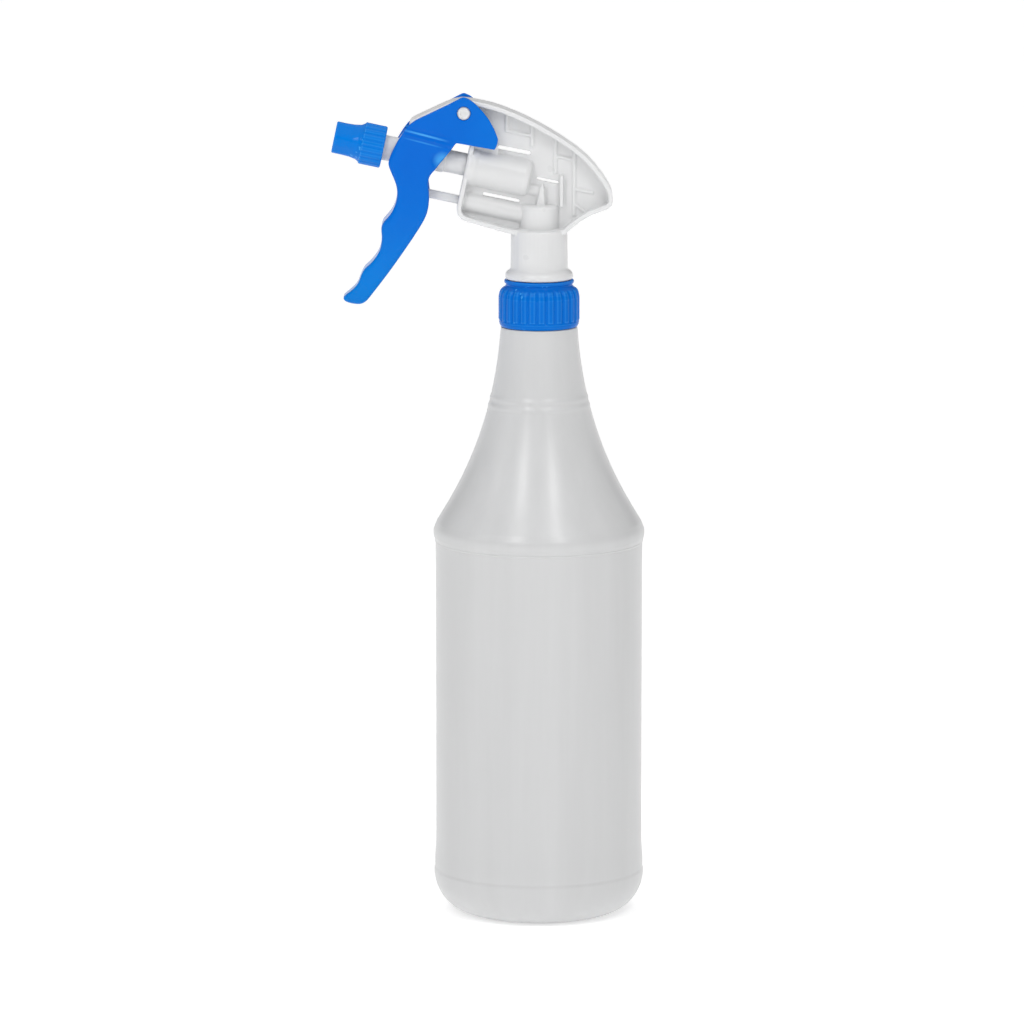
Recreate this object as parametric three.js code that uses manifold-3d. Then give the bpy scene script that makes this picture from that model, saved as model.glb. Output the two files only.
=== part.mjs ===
// Trigger spray bottle: a round 32 oz bottle, a 28 mm screw collar and a plunger-type sprayer.
//
// Frame: millimetres, +Z up, origin on the bottle's axis at the plane it stands on.
// The nozzle points towards -X and the sprayer is symmetric about the plane Y = 0.
// Every mesh is one closed solid, named after the piece it stands for.

import * as THREE from 'three';
import { mergeVertices } from 'three/addons/utils/BufferGeometryUtils.js';
import Module from 'manifold-3d';

const wasm = await Module();
wasm.setup();

// ---------------------------------------------------------------- driving dimensions

const ROUND = 40;                 // facets of a large turned piece
const SMALL_ROUND = 24;           // facets of a small turned piece

const BOTTLE = {
  bodyRadius: 42.8,
  ringRadius: 43.9,               // raised ring under the shoulder
  heelRadius: 43.6,               // raised ring above the heel
  wall: 1.1,
  standRadius: 27.5,              // outer edge of the flat ring it stands on
  pushUp: 1.2,                    // height of the flat centre of the base
  pushUpRadius: 18,
  heelHeight: 17,
  shoulderZ: 163.2,
  neckFlareRadius: 15.87,
  neckFlareZ: 245.6,
};

const NECK = {
  rootRadius: 12.6,
  boreRadius: 10.9,
  topZ: 260.4,
  threadRadius: 13.7,
  lead: 4.233,                    // six threads to the inch
  threadTurns: 1.25,
  threadStartZ: 251.2,
};

const COLLAR = {
  bottomZ: 246.1,
  ribBottomZ: 248.6,
  shoulderZ: 258.4,               // the ribs are at full height up to here
  lipBottomZ: 263.25,
  topZ: 265.6,
  rootRadius: 16.15,
  ribRadius: 16.85,
  ribs: 27,
  boreRadius: 13.95,
  threadCrestRadius: 12.95,
  lipBoreRadius: 10.95,
};

const SHANK = {
  bottomZ: 261.9,
  beadRadius: 12.55,
  grooveRadius: 10.6,
  ringRadius: 14.1,
  radius: 11.65,
  topZ: 286.4,
  hollowRadius: 9.2,
  hollowTopZ: 284.3,
  tubeRadius: 5.4,
  socketRadius: 4.25,
  socketTopZ: 271.8,
  riserRadius: 1.3,
  stubRadius: 8.0,
  stubTopZ: 296.6,
};

const TILT = THREE.MathUtils.degToRad(12);   // the barrel rises towards the nozzle by this much
const PIVOT = new THREE.Vector3(-31, 0, 335.1);
const BARREL_DROP = 21.4;         // from the pivot square down to the barrel's axis
const VENT_DROP = 36.2;           // from the pivot square down to the vent rod's axis
const PORT_DROP = 25.6;           // to the axis of the port from the riser into the barrel's end

const BARREL = {
  radius: 7.8,
  bore: 6.25,
  front: -5.3,                    // stations along the axis, positive towards the nozzle
  rear: -32.5,
  boreEnd: -30.5,
};

const FRAME = { rimHalf: 7.0, webHalf: 1.1, rim: 1.9, ribHalf: 1.8, tallRibHalf: 4.4 };
const TRIGGER = { earInner: 7.4, earOuter: 9.1, gripHalf: 10.2, tipHalf: 7.4, wall: 2.1 };
const PIN_RADIUS = 2.65;
const NOZZLE = { rear: 29.1, step: 38.4, front: 50, skirtRadius: 8.7, headHalf: 5.9, headCorner: 4.09 };
const LEVER_LEAD = 7.5 / BARREL_DROP;        // the lugs lean forward of the square line by this slope

const COLOURS = {
  bottle: 0xd3d4d5,
  white: 0xdedfe0,
  blue: 0x1668d0,
  rubber: 0x2b2c2e,
  steel: 0xb4b8bc,
  natural: 0xe4e6e2,
};

// ---------------------------------------------------------------- solids and their booleans

// A closed solid from any three.js geometry: only positions are kept, equal ones are merged,
// and triangles that the merge has flattened are dropped.
function solidOf(geometry) {
  const bare = new THREE.BufferGeometry();
  bare.setAttribute('position', geometry.getAttribute('position').clone());
  if (geometry.index) {
    bare.setIndex(geometry.index.clone());
  }
  const merged = mergeVertices(bare, 1e-4);
  const corners = merged.index.array;
  const kept = [];
  for (let i = 0; i < corners.length; i += 3) {
    const [a, b, c] = [corners[i], corners[i + 1], corners[i + 2]];
    if (a !== b && b !== c && c !== a) {
      kept.push(a, b, c);
    }
  }
  const vertProperties = new Float32Array(merged.getAttribute('position').array);
  if (signedVolume(vertProperties, kept) < 0) {
    for (let i = 0; i < kept.length; i += 3) {
      [kept[i + 1], kept[i + 2]] = [kept[i + 2], kept[i + 1]];
    }
  }
  const triVerts = new Uint32Array(kept);
  return new wasm.Manifold(new wasm.Mesh({ numProp: 3, vertProperties, triVerts }));
}

function signedVolume(places, corners) {
  const [p, q, r] = [new THREE.Vector3(), new THREE.Vector3(), new THREE.Vector3()];
  let total = 0;
  for (let i = 0; i < corners.length; i += 3) {
    p.fromArray(places, 3 * corners[i]);
    q.fromArray(places, 3 * corners[i + 1]);
    r.fromArray(places, 3 * corners[i + 2]);
    total += p.dot(q.cross(r)) / 6;
  }
  return total;
}

function join(...geometries) {
  return geometries.map(solidOf).reduce((sum, next) => sum.add(next));
}

function cut(solid, ...geometries) {
  return geometries.map(solidOf).reduce((left, next) => left.subtract(next), solid);
}

function geometryOf(solid) {
  const mesh = solid.getMesh();
  const geometry = new THREE.BufferGeometry();
  geometry.setAttribute('position', new THREE.BufferAttribute(new Float32Array(mesh.vertProperties), 3));
  geometry.setIndex(new THREE.BufferAttribute(new Uint32Array(mesh.triVerts), 1));
  geometry.computeVertexNormals();
  return geometry;
}

// ---------------------------------------------------------------- basic shapes

const at = (x, y) => new THREE.Vector2(x, y);

// A profile of [radius, height] pairs turned about Z. It starts and ends on the axis, or closes.
function turned(profile, facets = ROUND) {
  const geometry = new THREE.LatheGeometry(profile.map(([r, z]) => at(r, z)), facets);
  return geometry.rotateX(Math.PI / 2);
}

function ringProfile(inner, outer, low, high) {
  return [[inner, low], [outer, low], [outer, high], [inner, high], [inner, low]];
}

function rodAlongZ(radius, low, high, facets = SMALL_ROUND) {
  return turned([[0, low], [radius, low], [radius, high], [0, high]], facets);
}

function rodAlongY(radius, x, z, low, high, facets = SMALL_ROUND) {
  return rodAlongZ(radius, low, high, facets).rotateX(-Math.PI / 2).translate(x, 0, z);
}

// A closed outline in the X-Z plane, given side to side thickness along Y.
function plate(outline, low, high) {
  const shape = outline.isShape ? outline : new THREE.Shape(outline);
  const depth = high - low;
  const geometry = new THREE.ExtrudeGeometry(shape, { depth, bevelEnabled: false, curveSegments: 4 });
  return geometry.rotateX(Math.PI / 2).translate(0, high, 0);
}

function block(xLow, xHigh, yLow, yHigh, zLow, zHigh) {
  const geometry = new THREE.BoxGeometry(xHigh - xLow, yHigh - yLow, zHigh - zLow);
  return geometry.translate((xLow + xHigh) / 2, (yLow + yHigh) / 2, (zLow + zHigh) / 2);
}

// The points of a closed outline moved inwards by a distance, for a wall of even thickness.
function inset(points, distance) {
  const turn = Math.sign(THREE.ShapeUtils.area(points));
  return points.map((point, i) => {
    const before = points[(i + points.length - 1) % points.length];
    const after = points[(i + 1) % points.length];
    const into = point.clone().sub(before).normalize();
    const out = after.clone().sub(point).normalize();
    const inwards = at(-into.y - out.y, into.x + out.x).multiplyScalar(turn);
    const reach = distance / (1 + into.dot(out));
    return point.clone().addScaledVector(inwards, reach);
  });
}

// A trapezoid ridge wound about Z: the thread of the neck or of the collar.
function thread({ root, crest, rootHalf, crestHalf, startZ, turns, lead, stepsPerTurn = 24 }) {
  const steps = Math.round(turns * stepsPerTurn);
  const places = [];
  const corners = [];
  for (let i = 0; i <= steps; i += 1) {
    const angle = 2 * Math.PI * turns * i / steps;
    const height = startZ + lead * turns * i / steps;
    const swell = Math.max(0.15, Math.min(1, 5 * i / steps, 5 * (steps - i) / steps));
    const reach = root + (crest - root) * swell;
    const section = [[root, -rootHalf], [reach, -crestHalf], [reach, crestHalf], [root, rootHalf]];
    for (const [r, z] of section) {
      places.push(r * Math.cos(angle), r * Math.sin(angle), height + z);
    }
  }
  for (let i = 0; i < steps; i += 1) {
    for (let j = 0; j < 4; j += 1) {
      const a = 4 * i + j;
      const b = 4 * i + (j + 1) % 4;
      corners.push(a, b, b + 4, a, b + 4, a + 4);
    }
  }
  const end = 4 * steps;
  corners.push(0, 2, 1, 0, 3, 2, end, end + 1, end + 2, end, end + 2, end + 3);
  const geometry = new THREE.BufferGeometry();
  geometry.setAttribute('position', new THREE.Float32BufferAttribute(places, 3));
  geometry.setIndex(corners);
  return geometry;
}

class Helix extends THREE.Curve {
  constructor(radius, low, high, turns) {
    super();
    this.shape = { radius, low, high, turns };
  }

  getPoint(t, target = new THREE.Vector3()) {
    const { radius, low, high, turns } = this.shape;
    const angle = 2 * Math.PI * turns * t;
    return target.set(radius * Math.cos(angle), radius * Math.sin(angle), low + (high - low) * t);
  }
}

function coilSpring(radius, wire, low, high, turns) {
  const section = new THREE.Shape().absarc(0, 0, wire / 2, 0, 2 * Math.PI);
  const path = new Helix(radius, low + wire / 2, high - wire / 2, turns);
  const steps = turns * 10;
  return new THREE.ExtrudeGeometry(section, { steps, extrudePath: path, curveSegments: 3 });
}

// ---------------------------------------------------------------- the barrel's own frame

// Local Z runs along the barrel towards the nozzle and local X points up, square to it.
const barrelFrame = new THREE.Group();
barrelFrame.rotation.y = TILT - Math.PI / 2;
barrelFrame.position.copy(PIVOT);
barrelFrame.updateMatrixWorld();

// Moves a geometry made about the local Z axis to the barrel's axis, or to one further down.
function inFrame(geometry, drop = BARREL_DROP) {
  return geometry.translate(-drop, 0, 0).applyMatrix4(barrelFrame.matrixWorld);
}

// A point of the side view, from its station along the barrel and its drop below the pivot.
function along(station, drop) {
  const place = new THREE.Vector3(-drop, 0, station).applyMatrix4(barrelFrame.matrixWorld);
  return at(place.x, place.z);
}

// ---------------------------------------------------------------- the bottle

function shoulderCurve(offset) {
  return new THREE.CubicBezierCurve(
    at(BOTTLE.bodyRadius + 0.4 - offset, BOTTLE.shoulderZ),
    at(39.9 - offset, 169.9),
    at(19.0 - offset, 196.9),
    at(BOTTLE.neckFlareRadius - offset, BOTTLE.neckFlareZ),
  );
}

function heelArc(standRadius, radius, low, height, steps) {
  const points = [];
  for (let i = 0; i <= steps; i += 1) {
    const angle = Math.PI / 2 * i / steps;
    const r = standRadius + (radius - standRadius) * Math.sin(angle);
    points.push([r, low + height * (1 - Math.cos(angle))]);
  }
  return points;
}

function bottleShell() {
  const { wall, bodyRadius, ringRadius, heelRadius, pushUp, pushUpRadius, standRadius } = BOTTLE;
  const beadLow = 212.6;
  const beadHigh = 218.0;
  const beadProud = 0.4;
  const outer = [[0, pushUp], [pushUpRadius, pushUp], [standRadius - 3, 0]];
  outer.push(...heelArc(standRadius, heelRadius, 0, BOTTLE.heelHeight, 6));
  outer.push([heelRadius, 26], [bodyRadius, 28.5], [bodyRadius + 0.15, 156.4], [bodyRadius - 0.1, 157.1]);
  outer.push([ringRadius - 0.3, 158.2], [ringRadius, 159.6], [ringRadius - 0.1, 161.6]);
  let wasProud = false;
  for (const { x, y } of shoulderCurve(0).getPoints(16)) {
    const proud = y > beadLow && y < beadHigh;
    if (proud && !wasProud) {
      outer.push([x + 1.1, beadLow], [x + 1.1 + beadProud, beadLow + 0.4]);
    }
    if (!proud && wasProud) {
      outer.push([x + 1.0 + beadProud, beadHigh - 0.4], [x + 0.9, beadHigh]);
    }
    if (!proud) {
      outer.push([x, y]);
    }
    wasProud = proud;
  }
  outer.push([NECK.rootRadius + 0.3, BOTTLE.neckFlareZ], [NECK.rootRadius, BOTTLE.neckFlareZ + 0.4]);
  outer.push([NECK.rootRadius, NECK.topZ]);
  const inner = [[NECK.boreRadius, NECK.topZ], [NECK.boreRadius, BOTTLE.neckFlareZ - 0.7]];
  const innerShoulder = shoulderCurve(wall).getPoints(6).reverse();
  inner.push(...innerShoulder.slice(1).map(({ x, y }) => [x, y - wall / 2]));
  inner.push([bodyRadius - wall, 26]);
  inner.push(...heelArc(standRadius - 1, bodyRadius - wall, wall, BOTTLE.heelHeight, 4).reverse());
  inner.push([pushUpRadius, pushUp + wall], [0, pushUp + wall]);
  return turned([...outer, ...inner]);
}

function bottle() {
  const ridge = thread({
    root: NECK.rootRadius - 0.3,
    crest: NECK.threadRadius,
    rootHalf: 1.0,
    crestHalf: 0.5,
    startZ: NECK.threadStartZ,
    turns: NECK.threadTurns,
    lead: NECK.lead,
  });
  return join(bottleShell(), ridge);
}

// ---------------------------------------------------------------- the collar and the neck fittings

function lobedOutline(root, tip, lobes) {
  const points = [];
  const pitch = 2 * Math.PI / lobes;
  for (let i = 0; i < lobes; i += 1) {
    for (const [share, r] of [[-0.5, root], [-0.3, tip - 0.15], [0, tip], [0.3, tip - 0.15]]) {
      const angle = (i + share) * pitch;
      points.push(at(r * Math.cos(angle), r * Math.sin(angle)));
    }
  }
  return new THREE.Shape(points);
}

function collar() {
  const { bottomZ, ribBottomZ, shoulderZ, topZ, rootRadius, ribRadius, boreRadius } = COLLAR;
  const depth = shoulderZ + 4.2 - ribBottomZ;
  const ribs = new THREE.ExtrudeGeometry(lobedOutline(rootRadius, ribRadius, COLLAR.ribs), {
    depth,
    bevelEnabled: false,
  });
  ribs.translate(0, 0, ribBottomZ);
  const dome = turned([
    [0, ribBottomZ - 1],
    [ribRadius + 1, ribBottomZ - 1],
    [ribRadius + 1, shoulderZ - 1],
    [ribRadius, shoulderZ],
    [ribRadius - 0.4, shoulderZ + 1.8],
    [ribRadius - 1.1, shoulderZ + 3.2],
    [ribRadius - 2.1, shoulderZ + 4.2],
    [0, shoulderZ + 4.2],
  ]);
  const body = turned([
    [0, bottomZ],
    [rootRadius - 0.3, bottomZ],
    [rootRadius + 0.2, bottomZ + 0.8],
    [rootRadius + 0.5, ribBottomZ - 0.4],
    [rootRadius + 0.2, ribBottomZ],
    [rootRadius, shoulderZ],
    [rootRadius - 0.4, shoulderZ + 2.0],
    [rootRadius - 1.1, shoulderZ + 3.4],
    [14.1, shoulderZ + 4.5],
    [13.8, shoulderZ + 5.0],
    [13.9, shoulderZ + 5.5],
    [14.4, shoulderZ + 5.9],
    [14.5, topZ - 0.5],
    [14.1, topZ],
    [0, topZ],
  ]);
  const outside = solidOf(body).add(solidOf(ribs).intersect(solidOf(dome)));
  const mouth = turned([
    [0, bottomZ - 1],
    [boreRadius, bottomZ - 1],
    [boreRadius, 258.2],
    [13.0, 259.4],
    [13.0, COLLAR.lipBottomZ],
    [COLLAR.lipBoreRadius, COLLAR.lipBottomZ],
    [COLLAR.lipBoreRadius, topZ + 1],
    [0, topZ + 1],
  ]);
  const ridge = thread({
    root: boreRadius + 0.3,
    crest: COLLAR.threadCrestRadius,
    rootHalf: 0.9,
    crestHalf: 0.45,
    startZ: NECK.threadStartZ - NECK.lead / 2,
    turns: NECK.threadTurns,
    lead: NECK.lead,
  });
  return outside.subtract(solidOf(mouth)).add(solidOf(ridge));
}

function neckGasket() {
  return turned(ringProfile(8.8, NECK.rootRadius - 0.1, NECK.topZ, NECK.topZ + 1.4));
}

function tubeRetainer() {
  return turned([
    [2.9, 265.2],
    [1.5, 264.2],
    [1.5, 258.6],
    [3.15, 258.6],
    [3.15, 245.5],
    [4.4, 245.5],
    [4.4, 260.2],
    [8.4, 260.2],
    [8.4, 261.6],
    [4.05, 261.6],
    [4.05, 271.4],
    [2.9, 271.4],
    [2.9, 265.2],
  ], SMALL_ROUND);
}

function inletBall() {
  return new THREE.SphereGeometry(2.35, 16, 10).rotateX(Math.PI / 2).translate(0, 0, 266.15);
}

function dipTube() {
  return turned(ringProfile(2.1, 3.0, 13.0, 258.3), 16);
}

function strainer() {
  const cup = turned([
    [0, 5.2],
    [3.4, 5.2],
    [4.2, 6.0],
    [4.2, 19.5],
    [3.12, 19.5],
    [3.12, 12.6],
    [3.0, 12.4],
    [3.0, 6.8],
    [0, 6.8],
  ], 20);
  const windows = [0, 1, 2, 3].map((i) => {
    return block(2, 6, -0.9, 0.9, 7.6, 11.8).rotateZ(Math.PI / 2 * i + Math.PI / 4);
  });
  return cut(solidOf(cup), ...windows);
}

// ---------------------------------------------------------------- the sprayer's frame

// The side outline of the frame, rim included: over the nose and the back, round the tail, into
// the shank, out to the lower front corner, up the front and under the nose.
function frameOutline() {
  const shape = new THREE.Shape();
  shape.moveTo(-53.4, 329.6);
  shape.quadraticCurveTo(-53.8, 331.7, -51.3, 332.7);
  shape.lineTo(-39.0, 338.5);
  shape.quadraticCurveTo(-33.5, 341.2, -28.6, 340.3);
  shape.splineThru([at(-16.3, 337.4), at(0.3, 330.0), at(18.3, 318.1), at(28.6, 305.4), at(30.4, 298.8)]);
  shape.bezierCurveTo(30.4, 296.2, 28.6, 295.4, 26.7, 294.8);
  shape.quadraticCurveTo(18.5, 292.4, 12.5, 286.6);
  shape.lineTo(10.5, 284.9);
  shape.lineTo(-10.5, 284.9);
  shape.lineTo(-14.2, 285.6);
  shape.lineTo(-29.6, 290.0);
  const lowerFront = along(BARREL.front, 39.4);
  const upperFront = along(BARREL.front, 11.8);
  shape.quadraticCurveTo(-34.2, 291.4, lowerFront.x, lowerFront.y);
  shape.lineTo(upperFront.x, upperFront.y);
  shape.lineTo(-45.0, 325.2);
  shape.lineTo(-51.2, 326.4);
  shape.quadraticCurveTo(-53.0, 327.0, -53.4, 329.6);
  return shape.getPoints(3).slice(0, -1);
}

// A slot through the web, parallel to the barrel, from its two ends' centres.
function webSlot(x0, z0, x1, z1, height) {
  const half = height / 2;
  const direction = at(x1 - x0, z1 - z0).normalize();
  const across = at(-direction.y, direction.x).multiplyScalar(half);
  const first = at(x0, z0);
  const last = at(x1, z1);
  return plate([
    first.clone().sub(across),
    last.clone().sub(across),
    last.clone().addScaledVector(direction, half * 0.6),
    last.clone().add(across),
    first.clone().add(across),
    first.clone().addScaledVector(direction, -half * 0.6),
  ], -4, 4);
}

// The turned lower part: snap bead, groove for the collar's lip, rounded ring and shank.
function shankOutside() {
  const { bottomZ, beadRadius, grooveRadius, ringRadius, radius, topZ } = SHANK;
  return turned([
    [0, bottomZ],
    [beadRadius, bottomZ],
    [beadRadius, 262.7],
    [grooveRadius, 263.1],
    [grooveRadius, 265.75],
    [ringRadius - 0.6, 265.75],
    [ringRadius - 0.1, 266.3],
    [ringRadius, 267.2],
    [ringRadius - 0.3, 268.4],
    [ringRadius - 1.1, 269.2],
    [radius + 0.6, 269.5],
    [radius + 0.2, 270.4],
    [radius, topZ - 0.5],
    [radius - 0.5, topZ],
    [0, topZ],
  ]);
}

function shankHollow() {
  const { bottomZ, hollowTopZ, tubeRadius, hollowRadius } = SHANK;
  return turned(ringProfile(tubeRadius, hollowRadius, bottomZ - 1, hollowTopZ), 36);
}

// Low ribs on the web, upright or along the barrel, a taller one beside the riser and its gusset.
function frameRibs() {
  const { ribHalf, tallRibHalf } = FRAME;
  const upright = (x, low, high, half = ribHalf) => block(x - 0.7, x + 0.7, -half, half, low, high);
  const level = (x0, z0, length) => {
    const drop = length * Math.tan(TILT);
    const ends = [at(x0, z0 + 0.6), at(x0 + length, z0 - drop + 0.6)];
    return plate([...ends, at(x0 + length, z0 - drop - 0.6), at(x0, z0 - 0.6)], -ribHalf, ribHalf);
  };
  return [
    upright(-13.3, 327.5, 335.5),
    upright(-2.9, 320.5, 330.5),
    upright(6.6, 309.5, 325),
    upright(14.4, 292.0, 319.5),
    upright(9.2, 296.0, 309.0, tallRibHalf),
    level(-13.9, 327.4, 11),
    level(6.6, 316.8, 8),
    level(14.4, 303.2, 8),
    plate([at(14.4, 296.5), at(19.5, 292.5), at(20.4, 293.1), at(14.6, 297.9)], -ribHalf, ribHalf),
    plate([at(-1.4, 296), at(2.5, 296), at(1.8, 305.2), at(0.8, 305.2)], -tallRibHalf, tallRibHalf),
  ];
}

// The pump barrel's outside: a low flange in front, a rounded edge behind.
function barrelOutside() {
  const { radius, front, rear } = BARREL;
  return turned([
    [0, rear],
    [radius - 2.0, rear],
    [radius - 0.6, rear + 0.8],
    [radius, rear + 2.4],
    [radius, front - 5.0],
    [radius + 0.6, front - 3.4],
    [radius + 0.6, front - 1.2],
    [radius, front],
    [0, front],
  ], 36);
}

function sprayFrame() {
  const outline = frameOutline();
  const { rimHalf, webHalf, rim } = FRAME;
  const rimSolid = cut(join(plate(outline, -rimHalf, rimHalf)), plate(inset(outline, rim), -9, 9));
  const ventOuter = 4.1;
  const added = [
    plate(outline, -webHalf, webHalf),
    shankOutside(),
    turned([
      [0, SHANK.topZ - 1],
      [SHANK.stubRadius, SHANK.topZ - 1],
      [SHANK.stubRadius, SHANK.stubTopZ - 1.2],
      [SHANK.stubRadius - 0.6, SHANK.stubTopZ - 0.3],
      [SHANK.stubRadius - 1.6, SHANK.stubTopZ],
      [0, SHANK.stubTopZ],
    ], 36),
    inFrame(barrelOutside()),
    inFrame(rodAlongZ(2.7, -39.8, BARREL.rear + 1), PORT_DROP),
    inFrame(rodAlongZ(ventOuter, -34, -5.75), VENT_DROP),
    inFrame(block(5, 11, -3.4, 3.4, -17.2, BARREL.front)),
    rodAlongZ(2.7, SHANK.stubTopZ - 1, 303.6).translate(0.9, 0, 0),
    rodAlongY(4.6, PIVOT.x, PIVOT.z, -rimHalf, rimHalf),
    ...frameRibs(),
  ];
  const removed = [
    shankHollow(),
    rodAlongZ(SHANK.socketRadius, SHANK.bottomZ - 1, SHANK.socketTopZ),
    rodAlongZ(SHANK.riserRadius, SHANK.socketTopZ - 1, 302.6, 12),
    inFrame(rodAlongZ(BARREL.bore, BARREL.boreEnd, 4, 36)),
    inFrame(rodAlongZ(SHANK.riserRadius, -38.2, BARREL.boreEnd + 1, 12), PORT_DROP),
    inFrame(rodAlongZ(2.2, -33, 4), VENT_DROP),
    rodAlongZ(0.9, SHANK.hollowTopZ - 1, 293.2, 10).translate(-7.2, 0, 0),
    webSlot(-16.7, 320.4, -3.9, 317.9, 1.55),
    webSlot(-0.8, 307.5, 7.7, 305.7, 1.05),
    webSlot(-22.9, 301.1, -8.4, 298.1, 1.35),
    rodAlongY(PIN_RADIUS + 0.15, PIVOT.x, PIVOT.z, -9, 9),
  ];
  const whole = added.map(solidOf).reduce((sum, next) => sum.add(next), rimSolid);
  return cut(whole, ...removed);
}

function pivotPin() {
  const reach = TRIGGER.earOuter + 0.1;
  return turned([
    [0, -reach - 0.15],
    [PIN_RADIUS - 0.5, -reach - 0.15],
    [PIN_RADIUS, -reach + 0.3],
    [PIN_RADIUS, reach - 0.3],
    [PIN_RADIUS - 0.5, reach + 0.15],
    [0, reach + 0.15],
  ], SMALL_ROUND).rotateX(Math.PI / 2).translate(PIVOT.x, 0, PIVOT.z);
}

// ---------------------------------------------------------------- the trigger, about its pivot

function triggerOutline() {
  const shape = new THREE.Shape();
  shape.moveTo(0.4, 6.7);
  shape.quadraticCurveTo(-0.4, 6.9, -1.4, 6.3);
  shape.lineTo(-7.0, 3.4);
  shape.lineTo(-19.6, -2.6);
  shape.splineThru([at(-22.9, -5.2), at(-26.8, -10.7), at(-30.3, -17.5), at(-31.2, -21.0)]);
  shape.splineThru([at(-30.1, -23.9), at(-28.0, -29.0), at(-27.4, -33.2), at(-28.5, -38.3),
    at(-30.6, -42.1), at(-33.6, -45.5), at(-34.1, -48.2)]);
  shape.splineThru([at(-33.8, -51.8), at(-34.8, -56.9), at(-37.8, -61.5), at(-41.1, -64.5)]);
  shape.splineThru([at(-42.4, -67.0), at(-44.1, -71.2), at(-47.5, -74.5), at(-49.8, -76.2)]);
  shape.quadraticCurveTo(-50.6, -77.4, -49.2, -78.3);
  shape.splineThru([at(-47.0, -79.2), at(-42.9, -79.7), at(-40.4, -78.5), at(-38.3, -75.9)]);
  shape.splineThru([at(-29.8, -64.5), at(-22.2, -53.5), at(-17.2, -45.9), at(-14.6, -40.0),
    at(-14.0, -33.2), at(-14.6, -29.0)]);
  shape.quadraticCurveTo(-14.5, -25.4, -11.9, -23.6);
  shape.lineTo(-8.8, -19.7);
  shape.lineTo(-3.1, -12.2);
  shape.lineTo(12.6, -15.0);
  shape.quadraticCurveTo(14.0, -13.4, 14.1, -10.5);
  shape.quadraticCurveTo(12.0, -4.0, 8.0, 0.6);
  shape.quadraticCurveTo(3.4, 6.0, 0.4, 6.7);
  return shape;
}

// Seen from the front: the grip is wider than the ears and narrows to its tip.
function gripFrontView() {
  const { gripHalf, tipHalf } = TRIGGER;
  const shape = new THREE.Shape([
    at(-gripHalf, 4),
    at(-gripHalf, -42),
    at(-gripHalf + 0.8, -56),
    at(-tipHalf, -72),
    at(-tipHalf + 1.4, -77),
    at(-tipHalf + 4, -81),
    at(tipHalf - 4, -81),
    at(tipHalf - 1.4, -77),
    at(tipHalf, -72),
    at(gripHalf - 0.8, -56),
    at(gripHalf, -42),
    at(gripHalf, 4),
  ]);
  const depth = 80;
  const geometry = new THREE.ExtrudeGeometry(shape, { depth, bevelEnabled: false });
  return geometry.rotateX(Math.PI / 2).rotateZ(Math.PI / 2).translate(-60, 0, 0);
}

// The space inside the channel, open to the back: it keeps the front wall and the two sides.
function channelSpace(front, half, top, bottom) {
  const kept = front.filter((point) => point.y <= top && point.y >= bottom);
  const shape = [at(kept[0].x, top), ...kept, at(kept[kept.length - 1].x, bottom), at(30, bottom), at(30, top)];
  return plate(shape, -half, half);
}

// A slot along the line from the pivot, where a cross pin can creep as the lever turns.
function creepSlot(drop, halfWidth, low, high) {
  const slope = Math.atan(LEVER_LEAD) + TILT;
  const far = drop / Math.cos(Math.atan(LEVER_LEAD)) + halfWidth + 0.1;
  const near = drop - halfWidth - 0.25;
  const slot = plate([
    at(-halfWidth, -near),
    at(-halfWidth, -far),
    at(halfWidth, -far),
    at(halfWidth, -near),
  ], low, high);
  return slot.rotateY(slope);
}

// What the ears lack beside the grip, on one side: it ends below in a ramp out to the full width.
function earRelief(side) {
  const { earOuter, gripHalf } = TRIGGER;
  const slope = 2.64;
  const relief = plate([at(-60, 2.2), at(20, -18.6), at(20, 12), at(-60, 12)], earOuter, gripHalf + 3);
  const shear = new THREE.Matrix4().set(1, 0, 0, 0, 0, 1, 0, 0, 0, -slope, 1, slope * earOuter, 0, 0, 0, 1);
  return relief.applyMatrix4(shear).scale(1, side, 1);
}

// The outside: the side outline within the front outline, and thinner where the two ears are.
function triggerOutside(points) {
  const { gripHalf } = TRIGGER;
  const side = plate(points, -gripHalf - 1, gripHalf + 1);
  const top = plate([at(-60, -20), at(20, -20), at(20, 12), at(-60, 12)], -gripHalf, gripHalf);
  return cut(solidOf(side).intersect(join(gripFrontView(), top)), earRelief(1), earRelief(-1));
}

// The inside: the channel down the grip, the gap between the ears, and room for the plunger's stem.
function triggerInside(points) {
  const { earInner, wall } = TRIGGER;
  const frontWall = inset(points, wall).filter((point) => point.x < -19.9 && point.y < -2);
  const stemHalf = 5.7;
  return [
    channelSpace(frontWall, earInner, -2, -50),
    channelSpace(frontWall, 5.6, -48, -70),
    plate([at(-60, -4), at(30, -4), at(30, 20), at(-60, 20)], -earInner, earInner),
    plate([at(-40, -8.5), at(-14, -8.5), at(-14, 0), at(-40, 0)], -earInner, earInner),
    plate([at(-40, -27.4), at(-14, -27.4), at(-14, 0), at(-40, 0)], -stemHalf, stemHalf),
  ];
}

// One of the two lugs behind the front wall that hold the vent rod's cross pin.
function ventLug(low, high) {
  return plate([
    at(-26.5, -29.6),
    at(-20.2, -29.6),
    at(-17.6, -31.2),
    at(-17.6, -34.4),
    at(-18.7, -36.6),
    at(-20.2, -37.4),
    at(-26.5, -37.4),
  ], low, high);
}

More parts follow.
